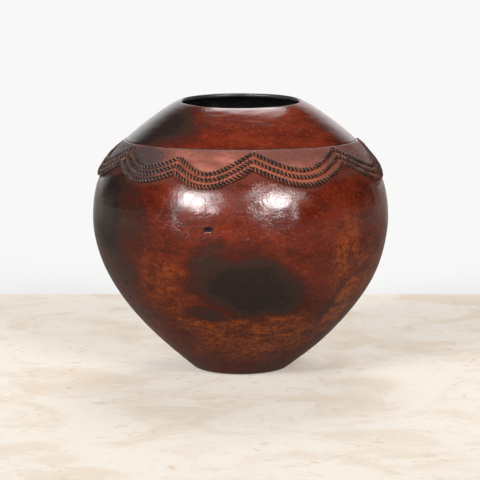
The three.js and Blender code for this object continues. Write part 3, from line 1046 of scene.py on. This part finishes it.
def rope_clay():
    clay = Finish("rope_clay")
    broad = clay.noise(clay.solid(14), 3, 0.6)
    grains = clay.noise(clay.solid(1.1), 3, 0.6)
    crest = clay.field("crest")
    bare = clay.fade(clay.field("soot"), 0.1, 0.9, 1, 0.06)
    red = clay.product(clay.fade(clay.field("height"), 0.75, 0.15),
                       clay.fade(broad, 0.3, 0.6, 0.25, 1.0), bare)
    colour = clay.tint(ROPE_DARK, ROPE_BROWN, broad, 0.3, 0.7)
    colour = clay.blend(red, colour, ROPE_FLANK)
    # Crests of the strands lightened: partly wear, partly painted light where the crests catch the
    # lamps
    sheen_and_wear = clay.product(clay.fade(crest, 0.55, 0.95, 0, 0.9),
                        clay.fade(broad, 0.38, 0.6, 0.25, 1.0))
    colour = clay.blend(sheen_and_wear, colour, clay.blend(bare, WORN_LIT_SOOTY, WORN_LIT_BARE))
    # Painted shade: the gaps between the strands turned near black
    colour = clay.tint(colour, STRAND_GAP_SHADE, crest, 0.76, 0.4)
    colour = clay.tint(colour, ROPE_GRAIN, grains, 0.6, 0.8, 0.4)
    rough = clay.fade(crest, 0.6, 0.98, 0.75, 0.22)
    rough = clay.maths("ADD", rough, clay.fade(grains, 0.35, 0.7, 0, 0.15))
    normal = clay.bump(grains, ROPE_GRAIN_DEPTH)
    return clay.finish(colour, rough, normal, IOR=CLAY_IOR)


# Studio, in metres. Veins, flecks, lens and sensor are in millimetres.

# Floor. Lit is the share of its colour that the lamps light, and own is how far it shows its
# colour by itself to the camera and in reflections.
FLOOR_RADIUS = 30
FLOOR_SIDES = 96
STONE_LIT = 0.44
STONE_OWN = 0.455
STONE_END = 0.545
STONE_END_BLUR = 0.002
VEIN_SIZE = 140
FLECK_SIZE = 24
VEIN_DARK = (0.80, 0.69, 0.575)
VEIN_LIGHT = (0.87, 0.80, 0.72)
STONE_FLECK = (0.66, 0.47, 0.32)
STONE_WHITE = (0.85, 0.85, 0.845)
STONE_FAR = (0.45, 0.40, 0.355)

# The pool of light round the pot, and the strip behind it that stays light as far as it goes
POOL = 0.62
POOL_FADE = 2.2
POOL_SHAPE = (1.35, 1, 0)
STRIP_SPREAD = 0.13
STRIP_EDGE = (0.36, 0.6)
STRIP_START = (0, -0.1)

# Lamps: name, azimuth and elevation in degrees, width as seen from the pot in degrees, and
# the light that falls on a surface facing it
LAMPS = [
    ("left_lamp", -39, 27, 23, 3.1),
    ("left_glow", -33, 25, 50, 0.42),
    ("right_lamp", 29, 27.5, 20, 2.3),
    ("right_glow", 22, 25, 50, 0.42),
    ("back_lamp", 176, 50, 27, 1.7),
]

# The room: brightness in front, straight behind and overhead, and where it changes
ROOM_FRONT = 0.05
ROOM_BACK = 2.0
ROOM_TOP = 0.15
ROOM_BEHIND = (0.74, 0.97)
ROOM_UPWARDS = (0.5, 0.9)

# Camera
LENS = 206.2
SENSOR = 36
CAMERA_X = -0.00077
CAMERA_DISTANCE = 3.5
CAMERA_HEIGHT = 0.7071
AIM_HEIGHT = 0.1659
CLIP_END = 60


def floor():
    """A pale stone floor that turns white behind the pot."""
    bpy.ops.mesh.primitive_circle_add(vertices=FLOOR_SIDES, radius=FLOOR_RADIUS, fill_type="NGON")
    ground = bpy.context.object
    ground.name = "floor"
    stone = Finish("floor_stone")
    where = stone.node("TexCoord", {}).outputs["Object"]
    split = stone.node("SeparateXYZ", {0: where})
    x, y = split.outputs["X"], split.outputs["Y"]
    veins = stone.noise(stone.solid(VEIN_SIZE), 6, 0.62, 0.8)
    flecks = stone.noise(stone.solid(FLECK_SIZE), 6, 0.75, 1.2)
    colour = stone.tint(VEIN_DARK, VEIN_LIGHT, veins, 0.36, 0.56)
    colour = stone.tint(colour, STONE_FLECK, flecks, 0.54, 0.68, 0.5)
    colour = stone.tint(colour, STONE_WHITE, y, STONE_END - STONE_END_BLUR, STONE_END)

    reach = stone.scaled(where, POOL_SHAPE)
    reach = stone.node("VectorMath", {0: reach}, operation="LENGTH").outputs["Value"]
    strip = stone.maths("SUBTRACT", stone.maths("ABSOLUTE", x), stone.product(y, STRIP_SPREAD))
    aside = stone.maths("MAXIMUM", stone.fade(strip, *STRIP_EDGE), stone.fade(y, *STRIP_START))
    far = stone.product(stone.fade(reach, POOL, POOL_FADE * POOL), aside)
    colour = stone.blend(far, colour, STONE_FAR)

    rays = stone.node("LightPath", {})
    seen = stone.maths("MAXIMUM", rays.outputs["Is Camera Ray"], rays.outputs["Is Glossy Ray"])
    seen = stone.maths("MAXIMUM", seen, rays.outputs["Is Transmission Ray"])
    stone.feed(stone.shader.inputs["Emission Color"], colour)
    stone.feed(stone.shader.inputs["Emission Strength"], stone.product(seen, STONE_OWN))
    stone.feed(stone.shader.inputs["Base Color"], stone.scaled(colour, (STONE_LIT,) * 3))
    stone.feed(stone.shader.inputs["Roughness"], stone.fade(veins, 0.3, 0.7, 0.5, 0.6))
    stone.feed(stone.shader.inputs["Specular IOR Level"], 0.0)
    ground.data.materials.append(stone.material)


def hold(name, data):
    """An object that holds a lamp or a camera."""
    holder = bpy.data.objects.new(name, data)
    bpy.context.collection.objects.link(holder)
    return holder


def aim(thing, target):
    direction = Vector(target) - thing.location
    thing.rotation_euler = direction.to_track_quat("-Z", "Y").to_euler()


def distant_lamp(name, azimuth, elevation, width, light):
    lamp = bpy.data.lights.new(name, "SUN")
    lamp.energy = light
    lamp.angle = math.radians(width)
    holder = hold(name, lamp)
    a, e = math.radians(azimuth), math.radians(elevation)
    holder.location = (math.sin(a) * math.cos(e), -math.cos(a) * math.cos(e), math.sin(e))
    aim(holder, (0, 0, 0))


def surroundings():
    """A room that is dim in front and overhead and bright straight behind the pot."""
    world = bpy.data.worlds.new("room")
    bpy.context.scene.world = world
    world.use_nodes = True
    room = Nodes(world.node_tree)
    way = room.node("SeparateXYZ", {0: room.node("TexCoord", {}).outputs["Generated"]})
    behind = room.fade(way.outputs["Y"], *ROOM_BEHIND, ROOM_FRONT, ROOM_BACK)
    strength = room.fade(way.outputs["Z"], *ROOM_UPWARDS, behind, ROOM_TOP)
    background = world.node_tree.nodes["Background"]
    room.feed(background.inputs["Strength"], strength)
    room.feed(background.inputs["Color"], (1, 1, 1))


def camera():
    """At the photograph's distance, height and angle."""
    eye = bpy.data.cameras.new("camera")
    eye.lens = LENS
    eye.sensor_width = SENSOR
    eye.clip_end = CLIP_END
    holder = hold("camera", eye)
    holder.location = (CAMERA_X, -CAMERA_DISTANCE, CAMERA_HEIGHT)
    aim(holder, (CAMERA_X, 0, AIM_HEIGHT))
    bpy.context.scene.camera = holder
    bpy.context.scene.view_settings.view_transform = "Standard"


camera()
floor()
for lamp in LAMPS:
    distant_lamp(*lamp)
surroundings()

pot = pot_wall(burnished_clay(), smoked_clay())
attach(pot, "root")
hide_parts("pot_body")

band = band_skin(matt_clay())
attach(band, "root")
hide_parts("applied_band")

rope_finish = rope_clay()
for rope, lines in zip(ROPE_NAMES, ROPE_LINES):
    for number, line in enumerate(lines, 1):
        node = f"swag_{number}_{rope}_rope"
        seed = number * 3 + ROPE_NAMES.index(rope)
        strand = twisted_rope(f"swag_{number}_{rope}_twist", line, rope_finish, seed)
        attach(strand, "root")
        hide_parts(node)
